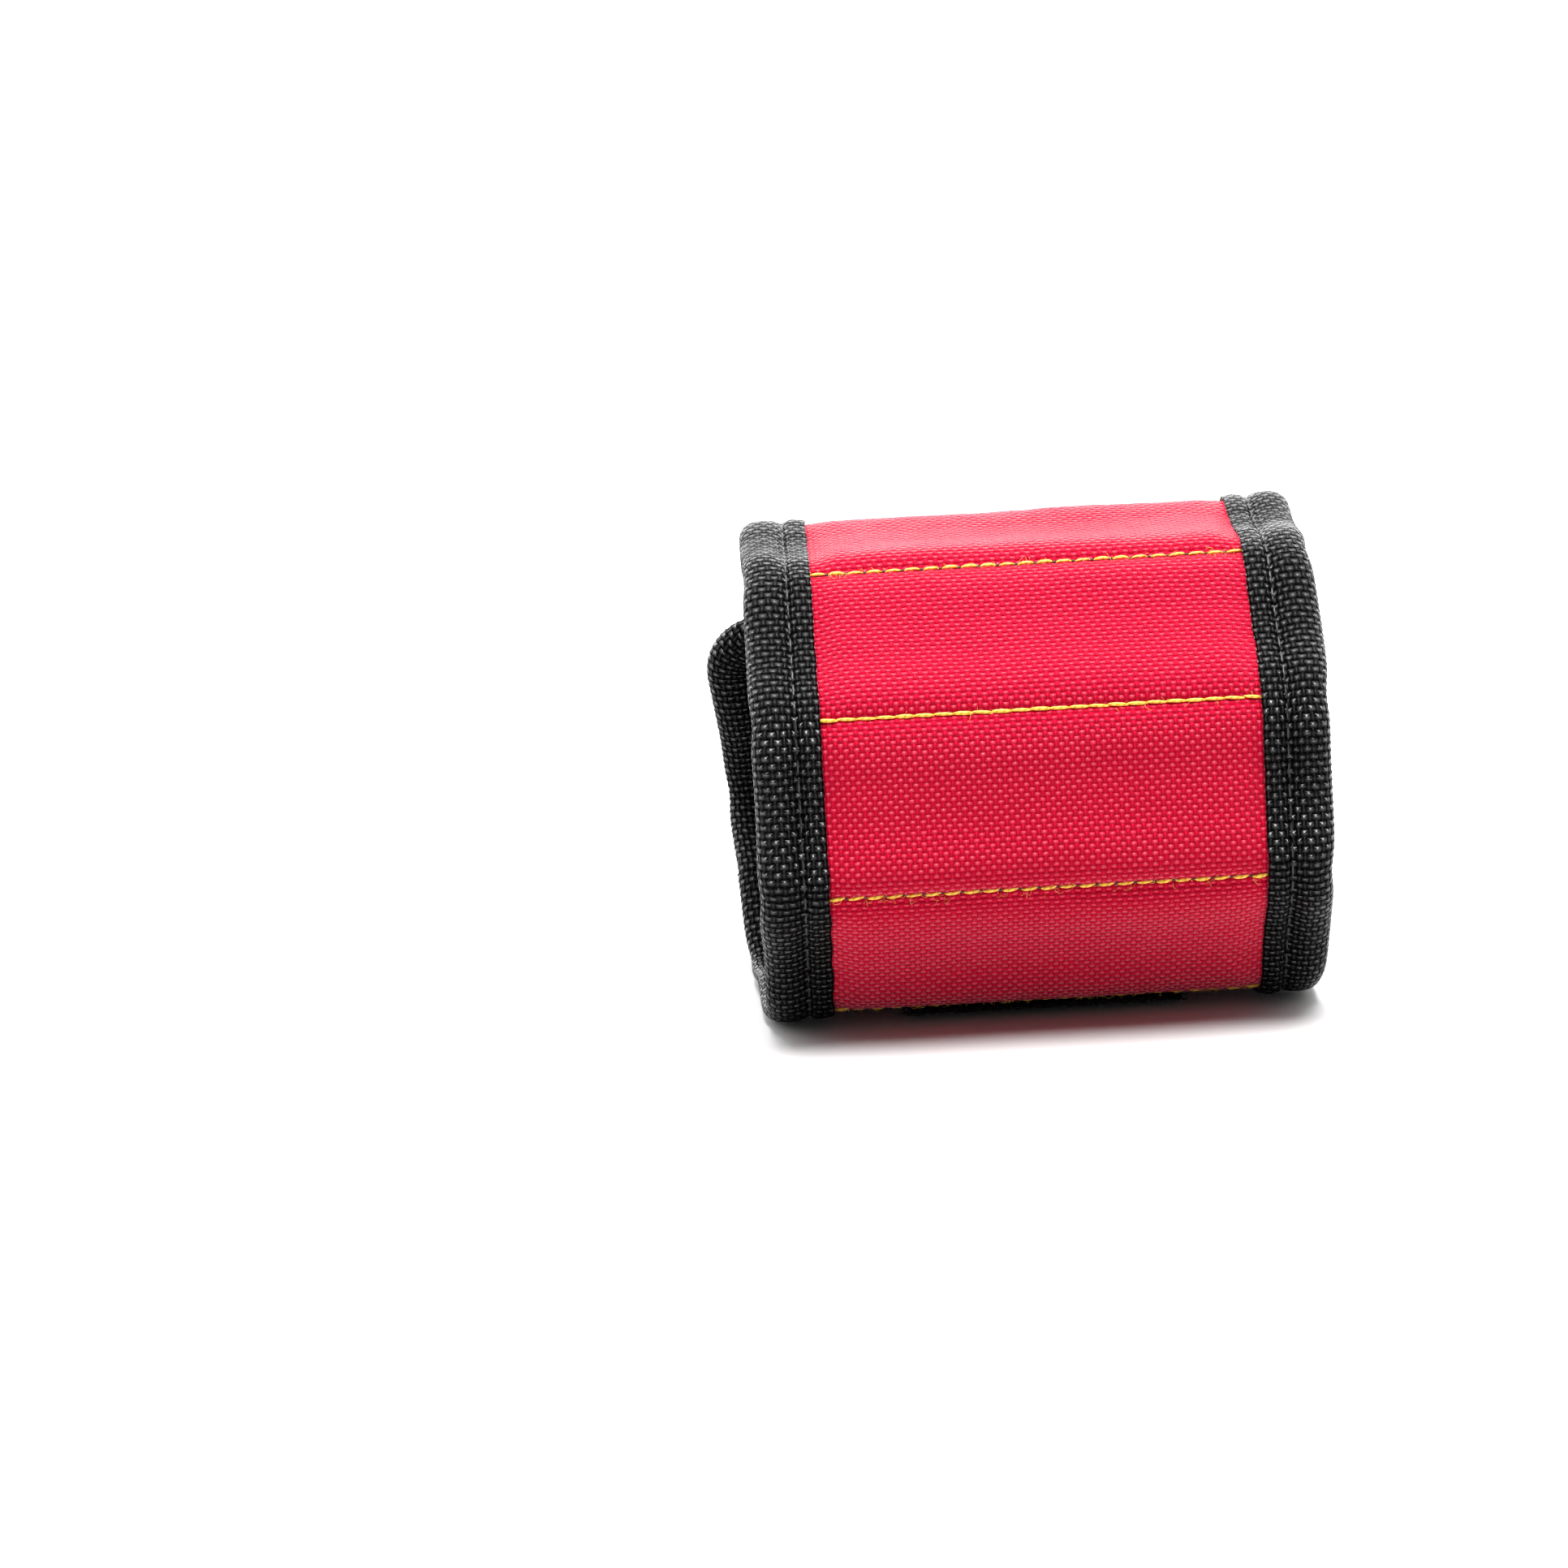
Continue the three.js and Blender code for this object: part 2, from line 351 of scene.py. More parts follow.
class Sheet:
    """A closed tube of rings, cut at the middles of the panels into pieces that each bend at one fold."""

    def __init__(self, rings, uv):
        self.rings = rings
        self.uv = uv
        count, size, _ = rings.shape
        self.rest = bend(rings.reshape(-1, 3)).reshape(count, size, 3)
        along = np.gradient(self.rest, axis=0)
        around = np.roll(self.rest, -1, axis=1) - np.roll(self.rest, 1, axis=1)
        normals = np.cross(around, along)
        self.normals = normals / np.maximum(np.linalg.norm(normals, axis=2, keepdims=True), 1e-9)

    def cut(self, first, last):
        """Vertices, faces, uv and normals of the rings from first to last."""
        size = self.rings.shape[1]
        count = last - first + 1
        i, k = np.meshgrid(np.arange(count - 1), np.arange(size), indexing="ij")
        nxt = (k + 1) % size
        here, there = i * size, (i + 1) * size
        walls = np.stack([here + k, here + nxt, there + nxt, there + k], axis=-1)
        lid = np.arange(size // 2 - 1)
        near_lid = np.stack([lid, size - 1 - lid, size - 2 - lid, lid + 1], axis=-1)
        far_lid = near_lid[:, ::-1] + (count - 1) * size
        faces = np.concatenate([walls.reshape(-1, 4), near_lid, far_lid])
        part = slice(first, last + 1)
        flat = [a[part].reshape(-1, a.shape[2]) for a in (self.rest, self.uv, self.normals)]
        return flat[0], faces, flat[1], flat[2]


def make_piece(name, parts, fold, nodes):
    """One object of (vertices, faces, uv, normals, material) parts, which come already bent round a fold."""
    vertices = np.concatenate([p[0] for p in parts]) * MM
    normals = np.concatenate([p[3] for p in parts])
    faces, material_of, uvs, start = [], [], [], 0
    materials = []
    for part_vertices, part_faces, part_uv, _, material in parts:
        if material not in materials:
            materials.append(material)
        faces += [tuple(int(v) + start for v in face) for face in part_faces]
        material_of += [materials.index(material)] * len(part_faces)
        uvs.append(part_uv)
        start += len(part_vertices)
    mesh = bpy.data.meshes.new(name)
    mesh.from_pydata(vertices.tolist(), [], faces)
    for material in materials:
        mesh.materials.append(material)
    mesh.polygons.foreach_set("material_index", material_of)
    mesh.polygons.foreach_set("use_smooth", [True] * len(faces))
    corner_vertex = np.empty(len(mesh.loops), np.int32)
    mesh.loops.foreach_get("vertex_index", corner_vertex)
    layer = mesh.uv_layers.new(name="cloth")
    layer.data.foreach_set("uv", np.concatenate(uvs)[corner_vertex].astype(np.float32).ravel())
    mesh.normals_split_custom_set_from_vertices(normals.tolist())
    mesh.update()
    piece = bpy.data.objects.new(name, mesh)
    bpy.context.scene.collection.objects.link(piece)
    near, far = near_and_far(fold)
    start_point, end_point = blend_ends(fold)
    start_point * MM
    end_point * MM
    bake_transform(piece)
    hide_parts(*[n for n in nodes if n in frame["nodes"]])
    return piece


def fold_name(fold):
    return f"{PANELS[fold]}_to_{PANELS[fold + 1]}"


def row_of(rows, u):
    return int(np.abs(rows - u).argmin())


def piece_rows(rows, fold):
    """First and last row of the piece that bends at a fold."""
    first = 0 if fold == 0 else row_of(rows, MIDDLES[fold])
    last = len(rows) - 1 if fold == LAST else row_of(rows, MIDDLES[fold + 1])
    return first, last


def strip_sheet(rows, half_width, columns, top, bottom):
    """A sheet across the band whose faces are height functions of x and u."""
    s = np.linspace(-1, 1, columns)
    u = np.repeat(rows[:, None], columns, axis=1)
    x = s[None, :] * half_width(rows)[:, None] + drift(u)
    upper = np.stack([x, u, top(x, u)], axis=-1)
    lower = np.stack([x, u, bottom(x, u)], axis=-1)[:, ::-1]
    rings = np.concatenate([upper, lower], axis=1)
    uv = rings[..., :2].copy()
    return Sheet(rings, uv)


def make_strip(part, rows, sheet, material):
    """The pieces of a strip, one for each fold that it reaches."""
    for fold in range(len(JOINTS)):
        first, last = piece_rows(rows, fold)
        if last <= first:
            continue
        nodes = [f"{part}_{PANELS[fold]}", f"{part}_{PANELS[fold + 1]}"]
        walls = (*sheet.cut(first, last), material)
        piece = make_piece(f"{part}_{fold_name(fold)}", [walls], fold, nodes)


# ---------------------------------------------------------------- materials


class Wire:
    """An output socket that can be used in arithmetic, which adds Math nodes."""

    def __init__(self, tree, socket):
        self.tree = tree
        self.socket = socket

    def math(self, operation, *others):
        node = self.tree.nodes.new("ShaderNodeMath")
        node.operation = operation
        for place, value in enumerate((self, *others)):
            if isinstance(value, Wire):
                self.tree.links.new(value.socket, node.inputs[place])
            else:
                node.inputs[place].default_value = value
        return Wire(self.tree, node.outputs[0])

    def __add__(self, other):
        return self.math("ADD", other)

    def __sub__(self, other):
        return self.math("SUBTRACT", other)

    def __mul__(self, other):
        return self.math("MULTIPLY", other)

    def sin(self):
        return self.math("SINE")

    def abs(self):
        return self.math("ABSOLUTE")

    def power(self, exponent):
        return self.math("POWER", exponent)

    def larger(self, other):
        return self.math("MAXIMUM", other)

    def above(self, level, softness):
        """0 below a level and 1 above it, with a soft step."""
        node = self.tree.nodes.new("ShaderNodeMapRange")
        node.interpolation_type = "SMOOTHSTEP"
        node.inputs["From Min"].default_value = level - softness
        node.inputs["From Max"].default_value = level + softness
        self.tree.links.new(self.socket, node.inputs["Value"])
        return Wire(self.tree, node.outputs["Result"])

    def mix(self, low, high):
        """low where this is 0 and the number high where it is 1."""
        return low + (low * -1 + high) * self


class Cloth:
    """A Principled material whose pattern follows the piece's own map, in millimetres."""

    def __init__(self, name, roughness, **sockets):
        self.material = bpy.data.materials.new(name)
        self.material.use_nodes = True
        self.tree = self.material.node_tree
        self.shader = self.tree.nodes["Principled BSDF"]
        self.shader.inputs["Roughness"].default_value = roughness
        for socket, value in sockets.items():
            self.shader.inputs[socket.replace("_", " ")].default_value = value
        place = self.tree.nodes.new("ShaderNodeUVMap")
        place.uv_map = "cloth"
        self.place = place.outputs[0]
        split = self.tree.nodes.new("ShaderNodeSeparateXYZ")
        self.tree.links.new(self.place, split.inputs[0])
        self.x = Wire(self.tree, split.outputs[0])
        self.u = Wire(self.tree, split.outputs[1])

    def noise(self, size, detail=2.0):
        """Uneven values round 0.5, with lumps of a size in millimetres."""
        node = self.tree.nodes.new("ShaderNodeTexNoise")
        node.noise_dimensions = "2D"
        node.inputs["Scale"].default_value = 1 / size
        node.inputs["Detail"].default_value = detail
        self.tree.links.new(self.place, node.inputs["Vector"])
        return Wire(self.tree, node.outputs["Fac"])

    def ramp(self, wire, stops):
        """A colour for each value of a wire."""
        node = self.tree.nodes.new("ShaderNodeValToRGB")
        elements = node.color_ramp.elements
        while len(elements) < len(stops):
            elements.new(0.5)
        for element, (position, colour) in zip(elements, stops):
            element.position = position
            element.color = (*colour, 1)
        self.tree.links.new(wire.socket, node.inputs[0])
        return node.outputs[0]

    def mix_colours(self, share, first, second):
        node = self.tree.nodes.new("ShaderNodeMix")
        node.data_type = "RGBA"
        self.tree.links.new(share.socket, node.inputs["Factor"])
        self.tree.links.new(first, node.inputs["A"])
        self.tree.links.new(second, node.inputs["B"])
        return node.outputs["Result"]

    def colour(self, socket):
        self.tree.links.new(socket, self.shader.inputs["Base Color"])

    def roughen(self, wire):
        self.tree.links.new(wire.socket, self.shader.inputs["Roughness"])

    def shine(self, wire):
        """How strongly the surface reflects: not at all at 0, and like plain plastic at 0.5."""
        self.tree.links.new(wire.socket, self.shader.inputs["Specular IOR Level"])

    def bump(self, height):
        """Raises the surface by a height in millimetres."""
        node = self.tree.nodes.new("ShaderNodeBump")
        node.inputs["Distance"].default_value = MM
        self.tree.links.new(height.socket, node.inputs["Height"])
        self.tree.links.new(node.outputs[0], self.shader.inputs["Normal"])

    def weave(self, yarns, wobble=0.25, cross_bias=0.0, gap=0.5):
        """Plain weave: the height from 0 to about 1, and 1 where a yarn that runs across is on top.

        A cross_bias above 0 lifts the cross yarns.
        A higher gap makes the yarns rounder and further apart."""
        uneven = (self.noise(3.0) - 0.5) * wobble
        column = ((self.x + uneven) * (math.pi / yarns[0])).sin()
        row = ((self.u + uneven) * (math.pi / yarns[1])).sin()
        checker = column * row * 0.42
        lengthwise = column.abs().power(gap / 2) * (checker + (0.54 - cross_bias))
        crosswise = row.abs().power(gap) * (checker * -1 + (0.54 + cross_bias))
        on_top = (crosswise - lengthwise).above(0.0, 0.05)
        return lengthwise.larger(crosswise), on_top


def cover_cloth():
    cloth = Cloth("cover_cloth", 0.42, Sheen_Weight=0.25, Sheen_Roughness=0.3)
    cloth.shader.inputs["Sheen Tint"].default_value = (1.0, 0.66, 0.74, 1)
    height, on_top = cloth.weave(COVER_YARNS, gap=0.9)
    # Painted shade: each yarn's red gets darker down in the hollows between the yarns. Painted highlight:
    # the cross yarns are painted a lighter pink than the lengthwise ones, as if lit from above.
    length_painted_shade_stops = [
        (0.0, (0.16, 0.0, 0.004)),
        (0.35, (0.46, 0.002, 0.022)),
        (0.95, (0.60, 0.004, 0.030)),
    ]
    cross_painted_light_stops = [
        (0.0, (0.20, 0.0, 0.006)),
        (0.35, (0.52, 0.004, 0.030)),
        (0.95, (0.84, 0.024, 0.074)),
    ]
    length_red_painted_shade = cloth.ramp(height, length_painted_shade_stops)
    cross_red_painted_light = cloth.ramp(height, cross_painted_light_stops)
    cloth.colour(cloth.mix_colours(on_top, length_red_painted_shade, cross_red_painted_light))
    cloth.roughen(cloth.noise(9.0) * 0.14 + 0.34 - on_top * 0.08)
    cloth.shine(height.power(2) * (on_top * 0.38 + 0.06))
    cloth.bump(height * 0.52 + cloth.noise(0.4) * 0.03)
    return cloth.material


def binding_tape():
    cloth = Cloth("binding_tape", 0.3)
    height, on_top = cloth.weave(TAPE_YARNS, wobble=0.45, cross_bias=0.05, gap=1.0)
    # Painted shade: the grey goes near black down in the hollows between the yarns. Painted highlight: the
    # cross yarns are painted a lighter grey on top than the lengthwise ones.
    length_painted_shade_stops = [
        (0.25, (0.0004, 0.0004, 0.0004)),
        (0.6, (0.003, 0.003, 0.003)),
        (0.9, (0.020, 0.020, 0.021)),
    ]
    cross_painted_light_stops = [
        (0.25, (0.0004, 0.0004, 0.0004)),
        (0.65, (0.004, 0.004, 0.004)),
        (1.0, (0.036, 0.037, 0.039)),
    ]
    length_grey_painted_shade = cloth.ramp(height, length_painted_shade_stops)
    cross_grey_painted_light = cloth.ramp(height, cross_painted_light_stops)
    cloth.colour(cloth.mix_colours(on_top, length_grey_painted_shade, cross_grey_painted_light))
    cloth.roughen(cloth.noise(5.0) * 0.14 + 0.26 - on_top * 0.08)
    cloth.shine(height.power(2) * (on_top * 0.85 + 0.15))
    cloth.bump(height * 0.95 + cloth.noise(0.3) * 0.05)
    return cloth.material


def lining_mesh():
    """Spacer mesh: a knitted face with rows of round openings."""
    cloth = Cloth("lining_mesh", 0.8, Specular_IOR_Level=0.15)
    pitch = 2.2
    open_rows = (cloth.x * (math.pi / pitch)).sin() * (cloth.u * (math.pi / (pitch * 0.85))).sin()
    hole = open_rows.abs().above(0.66, 0.12)
    knit, _ = cloth.weave((0.42, 0.5))
    # Painted shade: the openings are painted black and the knit darker down in its hollows.
    shade = hole.mix(knit * 0.7 + 0.3, 0.0)
    stops = [
        (0.0, (0.001, 0.001, 0.001)),
        (0.4, (0.010, 0.010, 0.011)),
        (1.0, (0.034, 0.034, 0.037)),
    ]
    cloth.colour(cloth.ramp(shade, stops))
    cloth.bump(hole.mix(knit * 0.12, -0.6))
    return cloth.material


def loop_pile():
    cloth = Cloth("loop_pile", 0.95, Specular_IOR_Level=0.2)
    tufts = cloth.noise(0.8, 3.0) + cloth.noise(3.5) * 0.6
    cloth.colour(cloth.ramp(tufts, [(0.45, (0.002, 0.0018, 0.0018)), (1.0, (0.016, 0.014, 0.013))]))
    cloth.bump(tufts * 0.5)
    return cloth.material


def hook_base():
    cloth = Cloth("hook_base", 0.6, Specular_IOR_Level=0.2)
    height, _ = cloth.weave((0.5, 0.5))
    # Painted shade: darker down in the hollows of the weave.
    cloth.colour(cloth.ramp(height, [(0.0, (0.002, 0.002, 0.002)), (1.0, (0.016, 0.016, 0.018))]))
    cloth.bump(height * 0.15)
    return cloth.material


def twisted_thread(name, dark, light, roughness):
    """Thread whose map runs round it in x and along it in u."""
    cloth = Cloth(name, roughness, Specular_IOR_Level=0.5)
    strand = ((cloth.x + cloth.u * 0.9) * (2 * math.pi)).sin() * 0.5 + 0.5
    # Painted highlight and painted shade: the raised plies of the twist are painted light and the grooves
    # between them dark.
    cloth.colour(cloth.ramp(strand + cloth.noise(4.0) * 0.5, [(0.0, dark), (0.75, light)]))
    cloth.bump(strand * 0.05)
    return cloth.material


def fibre(name, dark, light):
    cloth = Cloth(name, 0.6)
    cloth.colour(cloth.ramp(cloth.noise(1.5), [(0.35, dark), (0.65, light)]))
    return cloth.material


def nickel_plating():
    """Bright plating with a fine grain and a few scuffs."""
    material = bpy.data.materials.new("nickel_plating")
    material.use_nodes = True
    tree = material.node_tree
    shader = tree.nodes["Principled BSDF"]
    shader.inputs["Metallic"].default_value = 1.0
    place = tree.nodes.new("ShaderNodeTexCoord")

    def noise(size, detail):
        node = tree.nodes.new("ShaderNodeTexNoise")
        node.inputs["Scale"].default_value = 1 / (size * MM)
        node.inputs["Detail"].default_value = detail
        tree.links.new(place.outputs["Object"], node.inputs["Vector"])
        return Wire(tree, node.outputs["Fac"])

    scuffs = noise(2.5, 6.0)
    ramp = tree.nodes.new("ShaderNodeValToRGB")
    ramp.color_ramp.elements[0].color = (0.52, 0.50, 0.46, 1)
    ramp.color_ramp.elements[1].color = (0.80, 0.79, 0.76, 1)
    ramp.color_ramp.elements[0].position = 0.35
    ramp.color_ramp.elements[1].position = 0.60
    tree.links.new(scuffs.socket, ramp.inputs[0])
    tree.links.new(ramp.outputs[0], shader.inputs["Base Color"])
    tree.links.new((scuffs * 0.25 + 0.10).socket, shader.inputs["Roughness"])
    bump = tree.nodes.new("ShaderNodeBump")
    bump.inputs["Distance"].default_value = 0.02 * MM
    tree.links.new(noise(0.3, 2.0).socket, bump.inputs["Height"])
    tree.links.new(bump.outputs[0], shader.inputs["Normal"])
    return material


COVER_CLOTH = cover_cloth()
BINDING_TAPE = binding_tape()
LINING_MESH = lining_mesh()
LOOP_PILE = loop_pile()
HOOK_BASE_CLOTH = hook_base()
# The dark and light colours of each thread are its yarn in shade and in light: painted shade and painted
# highlight.
YELLOW_THREAD = twisted_thread("yellow_thread", (0.52, 0.22, 0.006), (0.95, 0.60, 0.06), 0.4)
BLACK_THREAD = twisted_thread("black_thread", (0.002, 0.002, 0.002), (0.022, 0.022, 0.026), 0.45)
YELLOW_FIBRE = fibre("yellow_fibre", (0.62, 0.30, 0.03), (0.90, 0.62, 0.15))
BLACK_FIBRE = fibre("black_fibre", (0.003, 0.003, 0.003), (0.030, 0.024, 0.018))
NICKEL = nickel_plating()


# ---------------------------------------------------------------- cover and lining

COVER_COLUMNS = 112
LINING_COLUMNS = 64


def layer_half_width(rows):
    return outline_half_width(rows, LAYER_INSET)


def make_cover():
    rows = rows_between(LAYER_INSET, BAND_LENGTH - LAYER_INSET)
    sheet = strip_sheet(
        rows,
        layer_half_width,
        COVER_COLUMNS,
        cover_height,
        lambda x, u: cover_height(x, u) - COVER_THICKNESS,
    )
    make_strip("cover", rows, sheet, COVER_CLOTH)


def make_lining():
    rows = rows_between(LAYER_INSET, BAND_LENGTH - LAYER_INSET)
    sheet = strip_sheet(
        rows,
        layer_half_width,
        LINING_COLUMNS,
        lambda x, u: np.full_like(x, LINING_TOP),
        lining_height,
    )
    make_strip("lining", rows, sheet, LINING_MESH)


# ---------------------------------------------------------------- thread and fibres

UP = np.array([0, 0, 1.0])


def tube_walls(rings, sides):
    """Faces of a closed tube whose vertices are numbered ring by ring."""
    faces = []
    for ring in range(rings - 1):
        here, there = ring * sides, (ring + 1) * sides
        for k in range(sides):
            nxt = (k + 1) % sides
            faces.append((here + k, here + nxt, there + nxt, there + k))
    faces.append(tuple(range(sides - 1, -1, -1)))
    faces.append(tuple((rings - 1) * sides + k for k in range(sides)))
    return faces


STRAND_SIDES = 8
STRAND_RINGS = 7
STRAND_WALLS = tube_walls(STRAND_RINGS, STRAND_SIDES)
STRAND_TURN = 2 * math.pi * np.arange(STRAND_SIDES) / STRAND_SIDES
STRAND_T = (1 - np.cos(math.pi * (np.arange(STRAND_RINGS) + 0.35) / (STRAND_RINGS - 0.3))) / 2


def strand(start, end, up, width, height, map_start=0.0):
    """A plump strand between two points of the opened band, whose ends dip into the cloth."""
    axis = end - start
    length = np.linalg.norm(axis)
    axis = axis / length
    side = np.cross(up, axis)
    side /= np.linalg.norm(side)
    rise = np.cross(axis, side)
    t = STRAND_T[:, None, None]
    plump = np.sin(math.pi * t) ** 0.42
    sag = -0.45 * height * (2 * t - 1) ** 4
    turn = STRAND_TURN[None, :, None]
    sideways = width / 2 * plump * np.cos(turn)
    upward = height / 2 * plump * np.sin(turn)
    vertices = start + axis * (length * t) + rise * sag
    vertices = vertices + side * sideways + rise * upward
    uv = np.stack(np.broadcast_arrays(turn / (2 * math.pi), map_start + length * t), axis=-1)
    return vertices.reshape(-1, 3), STRAND_WALLS, uv.reshape(-1, 2)


FIBRE_SIDES = 3
FIBRE_RINGS = 6
FIBRE_WALLS = tube_walls(FIBRE_RINGS, FIBRE_SIDES)
FIBRE_TURN = 2 * math.pi * np.arange(FIBRE_SIDES) / FIBRE_SIDES
ODD_DIRECTION = (0.31, 0.87, 0.38)  # a direction that a fibre hardly ever takes


def thin_tube(points, radius):
    """A fibre through FIBRE_RINGS points."""
    along = np.gradient(points, axis=0)
    along /= np.linalg.norm(along, axis=1, keepdims=True)
    side = np.cross(along, ODD_DIRECTION)
    side /= np.linalg.norm(side, axis=1, keepdims=True)
    rise = np.cross(along, side)
    cos, sin = np.cos(FIBRE_TURN)[None, :, None], np.sin(FIBRE_TURN)[None, :, None]
    vertices = points[:, None] + radius * (side[:, None] * cos + rise[:, None] * sin)
    return vertices.reshape(-1, 3), FIBRE_WALLS, np.repeat(points[:, :2], FIBRE_SIDES, axis=0)


def stray_fibre(root, reach, lift, radius):
    """A fibre that rises from its root in an arc and comes down again."""
    t = np.linspace(0, 1, FIBRE_RINGS)[:, None]
    heading = rng.uniform(0, 2 * math.pi)
    curl = rng.uniform(-1.2, 1.2)
    direction = heading + curl * t
    flat = np.concatenate([np.cos(direction), np.sin(direction)], axis=1) * t * reach
    height = 4 * lift * t * (1 - t)
    return thin_tube(root + np.concatenate([flat, height], axis=1), radius)


def vertex_normals(vertices, faces):
    """Normals from the four-sided faces, which touch every vertex."""
    quads = np.array([face for face in faces if len(face) == 4])
    corners = vertices[quads]
    normal = np.cross(corners[:, 2] - corners[:, 0], corners[:, 3] - corners[:, 1])
    normals = np.zeros_like(vertices)
    for k in range(4):
        np.add.at(normals, quads[:, k], normal)
    return normals / np.maximum(np.linalg.norm(normals, axis=1, keepdims=True), 1e-12)


def bent_part(parts, material):
    """Joins (vertices, faces, uv) parts drawn in the opened band into one bent part."""
    vertices, faces, uvs, start = [], [], [], 0
    for part_vertices, part_faces, part_uv in parts:
        vertices.append(part_vertices)
        faces += [tuple(v + start for v in face) for face in part_faces]
        uvs.append(part_uv)
        start += len(part_vertices)
    rest = bend(np.concatenate(vertices))
    return rest, faces, np.concatenate(uvs), vertex_normals(rest, faces), material


# How each seam was sewn, from the tail's end: the slant of its stitches, the gap between them,
# and how many fibres have come loose
SEAM_LOOKS = [
    {"slant": 0.10, "gap": 0.30, "fuzz": 80},
    {"slant": 0.17, "gap": 0.42, "fuzz": 70},
    {"slant": -0.07, "gap": -0.35, "fuzz": 14},
    {"slant": 0.06, "gap": 0.40, "fuzz": 60},
    {"slant": 0.12, "gap": 0.30, "fuzz": 30},
    {"slant": -0.05, "gap": 0.34, "fuzz": 40},
]


STITCH_LIFT = 0.30
HOLE_LIFT = 0.20
FUZZ_LIFT = 0.34
FUZZ_RADIUS = 0.028
BOBBIN_WIDTH = 0.5
BOBBIN_HEIGHT = 0.4


def seam_row(u0, look):
    """Yellow stitches on the cover, the black bobbin thread in their holes and its row on the lining."""
    half = BAND_WIDTH / 2 - TAPE_REACH + 0.4
    count = round(2 * half / STITCH_PITCH)
    pitch = 2 * half / count
    stitches, bobbin, fibres = [], [], []
    for i in range(count):
        x0 = -half + i * pitch + look["gap"] / 2
        x1 = x0 + pitch - look["gap"]
        slant = look["slant"] + rng.normal(0, 0.035)
        thick = SEAM_THREAD * rng.uniform(0.86, 1.22)
        lift = STITCH_LIFT - SEAM_DIP + rng.normal(0, 0.03)
        start = np.array([x0, u0 - slant + rng.normal(0, 0.03), lift])
        end = np.array([x1, u0 + slant + rng.normal(0, 0.03), lift])
        stitches.append(strand(start, end, UP, thick, thick * 0.85, i * pitch))
        if look["gap"] > 0:
            hole = np.array([x1 + look["gap"] / 2, u0 + slant * 0.3, HOLE_LIFT - SEAM_DIP])
            across = np.array([0.10, 0.30, 0])
            bobbin.append(strand(hole - across, hole + across, UP, 0.14 + look["gap"] * 0.8, 0.34))
        skin = float(lining_height(np.array([x0]), np.array([u0]))[0]) - 0.12
        skin_start, skin_end = np.array([x0, u0, skin]), np.array([x1, u0, skin])
        bobbin.append(strand(skin_start, skin_end, -UP, BOBBIN_WIDTH, BOBBIN_HEIGHT, i * pitch))
    for _ in range(look["fuzz"]):
        root = np.array([rng.uniform(-half, half), u0 - abs(rng.normal(0, 0.35)), FUZZ_LIFT - SEAM_DIP])
        fibres.append(stray_fibre(root, rng.uniform(0.5, 1.9), rng.uniform(0.15, 0.6), FUZZ_RADIUS))
    return stitches, bobbin, fibres


def make_seams():
    for number, (fold, look) in enumerate(zip(SEAM_FOLDS, SEAM_LOOKS), start=1):
        stitches, bobbin, fibres = seam_row(FOLD_AT[fold], look)
        parts = [
            bent_part(stitches, YELLOW_THREAD),
            bent_part(bobbin, BLACK_THREAD),
            bent_part(fibres, YELLOW_FIBRE),
        ]
        make_piece(f"seam_{number}", parts, fold - 1, [f"channel_seam_{number}"])


# ---------------------------------------------------------------- binding tape

# Outer surface of the folded tape from its edge on the cover to its edge on the lining:
# distance in from the band's edge, height
TAPE_SECTION = [
    (10.5, 0.78), (9.6, 1.02), (8.3, 1.12), (7.3, 0.88),
    (GROOVE, 0.42),
    (5.9, 0.86), (4.5, 1.46), (2.6, 1.52), (1.0, 0.90),
    (0.15, -0.25), (0.12, -1.40), (0.9, -2.45),
    (2.6, -3.05), (4.5, -3.00), (5.9, -2.52),
    (GROOVE, -2.15),
    (7.3, -2.50), (8.3, -2.68), (9.6, -2.60), (10.5, -2.40),
]
SECTION_STEPS = 2
RING_SPACING = 0.3
END_RINGS = 240
RIB_HEIGHT = 0.13
CORNER_RINGS = 46
FOLD_PINCH = 0.16
PINCH_REACH = 3.2
EDGE_BULGE = 0.40
EDGE_CREASES = 0.28
TAPE_PUFF = 0.10
TAPE_CREASES = 0.10
FREE_EDGE_WAVE = 0.07
COVER_STITCH_HEIGHT = 0.46
LINING_STITCH_HEIGHT = -2.20
TAPE_STITCH_GAP = 0.25


def smooth_curve(points, steps):
    """A Catmull-Rom curve through the points."""
    points = np.array(points, float)
    padded = np.concatenate([[2 * points[0] - points[1]], points, [2 * points[-1] - points[-2]]])
    curve = []
    for before, here, there, after in zip(padded, padded[1:], padded[2:], padded[3:]):
        for t in np.arange(steps) / steps:
            curve.append(
                0.5 * (2 * here + (there - before) * t
                       + (2 * before - 5 * here + 4 * there - after) * t**2
                       + (3 * here - before - 3 * there + after) * t**3)
            )
    return np.array([*curve, points[-1]])


def round_end(u_edge, outward):
    """The band's edge at one end, from left to right: two corner arcs and the straight part between."""
    half = BAND_WIDTH / 2
    corner = np.linspace(0, math.pi / 2, CORNER_RINGS + 2)[1:-1]
    straight = half - CORNER_RADIUS
    arc_x = straight + CORNER_RADIUS * np.cos(corner)
    arc_u = u_edge - outward * CORNER_RADIUS * (1 - np.sin(corner))
    x = np.concatenate([-arc_x, np.linspace(-straight, straight, END_RINGS), arc_x[::-1]])
    u = np.concatenate([arc_u, np.full(END_RINGS, u_edge), arc_u[::-1]])
    inward_x = np.concatenate([np.cos(corner), np.zeros(END_RINGS), -np.cos(corner)[::-1]])
    inward_u = -outward * np.concatenate([np.sin(corner), np.ones(END_RINGS), np.sin(corner)[::-1]])
    return np.stack([x, u], axis=1), np.stack([inward_x, inward_u], axis=1)


